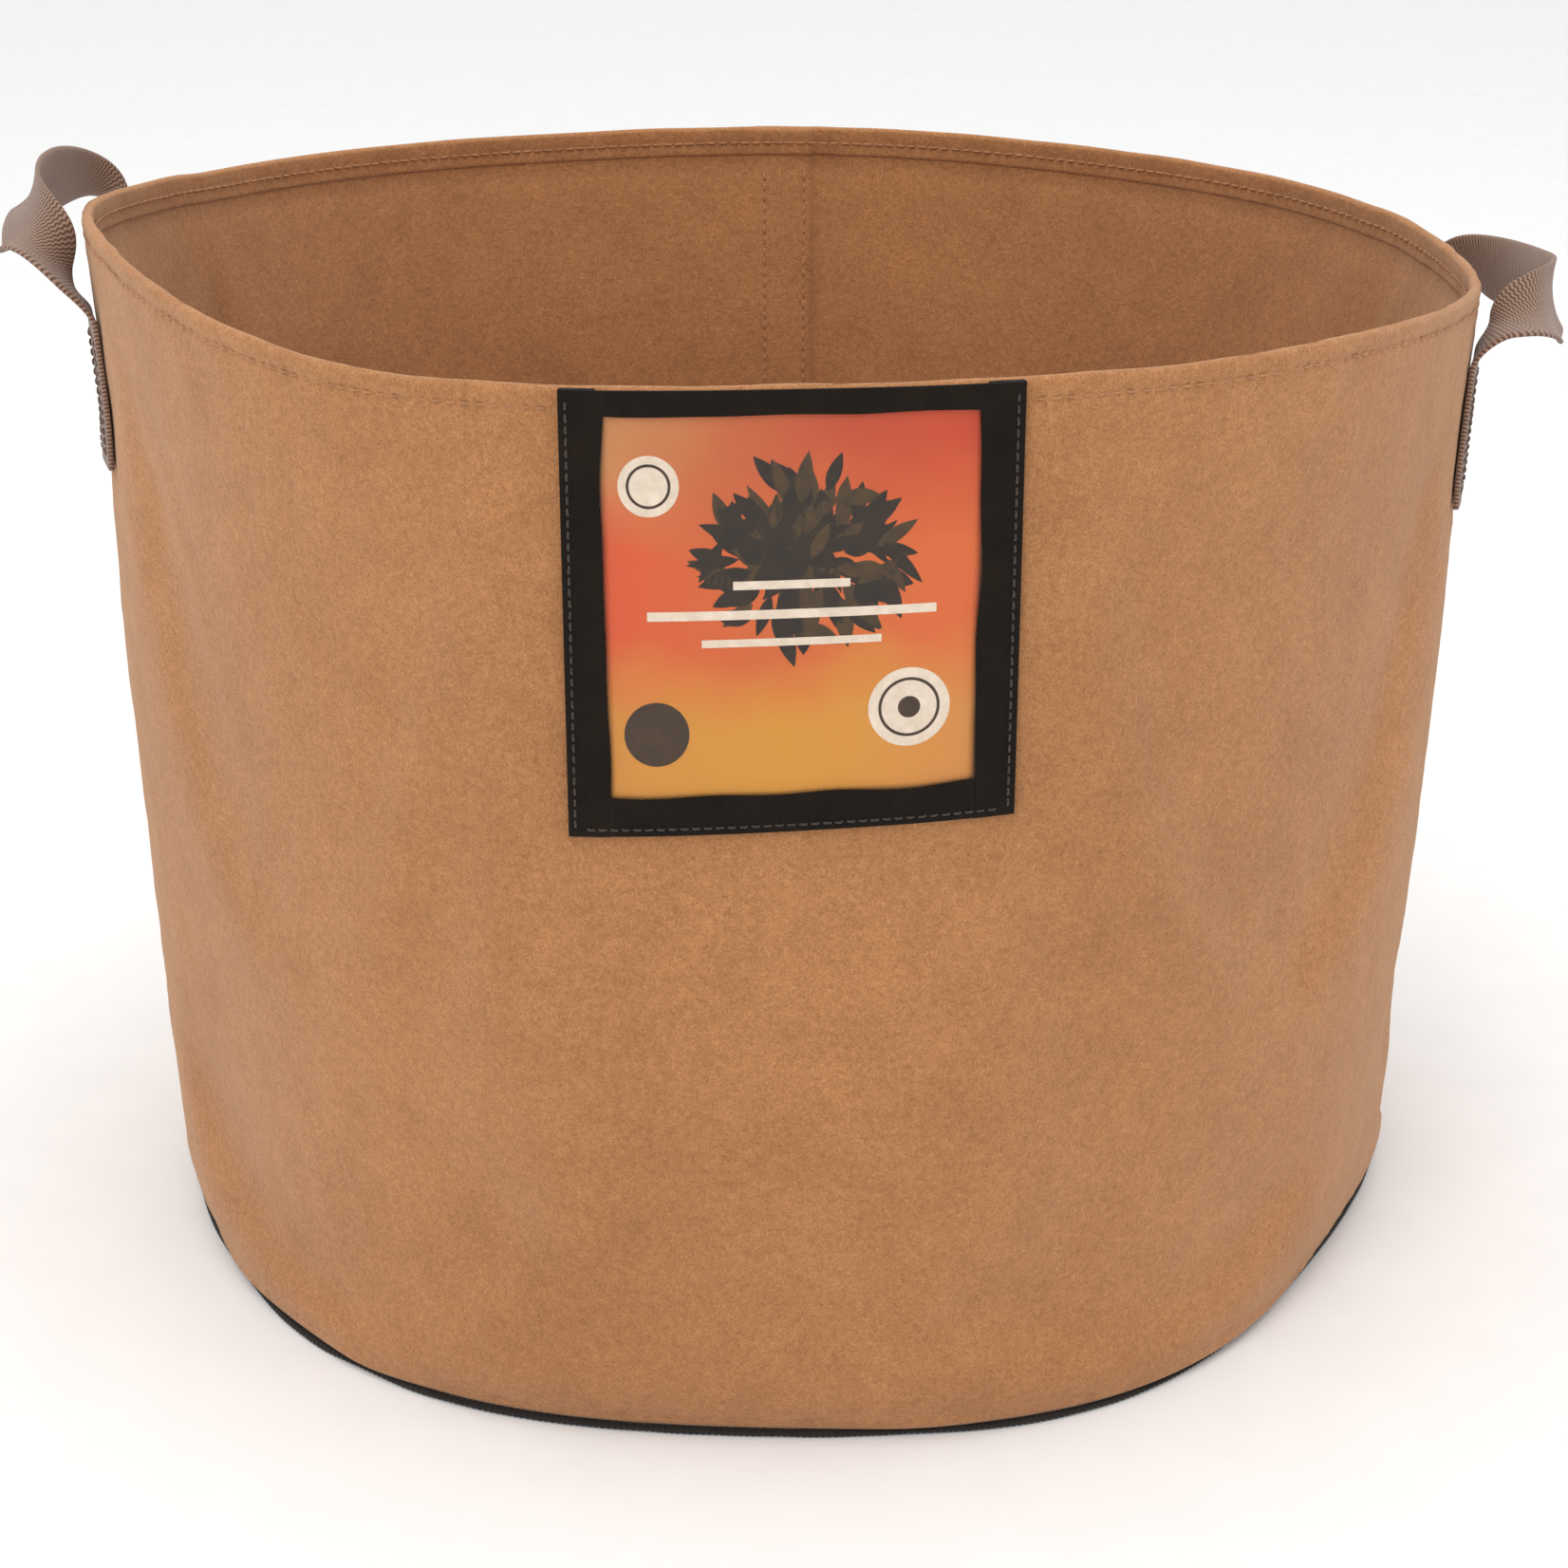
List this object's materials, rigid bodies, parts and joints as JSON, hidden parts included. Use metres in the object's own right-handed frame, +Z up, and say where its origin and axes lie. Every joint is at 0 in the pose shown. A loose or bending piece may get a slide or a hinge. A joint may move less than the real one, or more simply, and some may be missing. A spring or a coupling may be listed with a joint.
{
  "type": "fabric grow bag",
  "caption": "Round felt planter bag with a folded rim, a dark sewn base edge, two swinging webbing handles and a clear front pocket that holds a printed card.",
  "frame": {"origin": "centre of the base's underside, on the floor", "axes": "+Z up; the pocket faces -Y; +X points from the middle of the bag to the right handle"},
  "size_m": [0.5131, 0.4633, 0.3698],
  "materials": {
    "felt": "needle-punched felt, matt",
    "webbing": "woven polyester webbing",
    "edge_thread": "dense oversewn thread",
    "felt_thread": "twisted polyester thread",
    "webbing_thread": "twisted polyester thread",
    "tape": "black woven binding tape",
    "tape_thread": "twisted black thread",
    "clear_vinyl": "clear flexible vinyl",
    "card_print": "printed card with a satin laminate"
  },
  "bodies": {
    "bag": {"wall_panel": "felt", "base_panel": "felt", "base_edge_binding": "edge_thread", "rim_hem_stitching": "felt_thread", "side_seam_stitching": "felt_thread", "base_seam_stitching": "felt_thread", "left_handle_front_tab": "webbing", "left_handle_rear_tab": "webbing", "left_handle_stitching": "webbing_thread", "right_handle_front_tab": "webbing", "right_handle_rear_tab": "webbing", "right_handle_stitching": "webbing_thread", "pocket_window": "clear_vinyl", "pocket_binding_mouth": "tape", "pocket_binding_bottom": "tape", "pocket_binding_left": "tape", "pocket_binding_right": "tape", "pocket_stitching": "tape_thread"},
    "left_handle": {"left_handle_loop": "webbing"},
    "right_handle": {"right_handle_loop": "webbing"},
    "card": {"label_card": "card_print"}
  },
  "joints": [
    {"name": "left_handle_swing", "type": "hinge", "parent": "bag", "child": "left_handle", "pos_m": [-0.2235, 0, 0.322], "axis": [0, -1, 0], "range_deg": [0, 95]},
    {"name": "right_handle_swing", "type": "hinge", "parent": "bag", "child": "right_handle", "pos_m": [0.2235, 0, 0.322], "axis": [0, 1, 0], "range_deg": [0, 60]},
    {"name": "card_slide", "type": "slide", "parent": "bag", "child": "card", "axis": [0, -0.066, 0.9978], "range_m": [0, 0.115]}
  ]
}
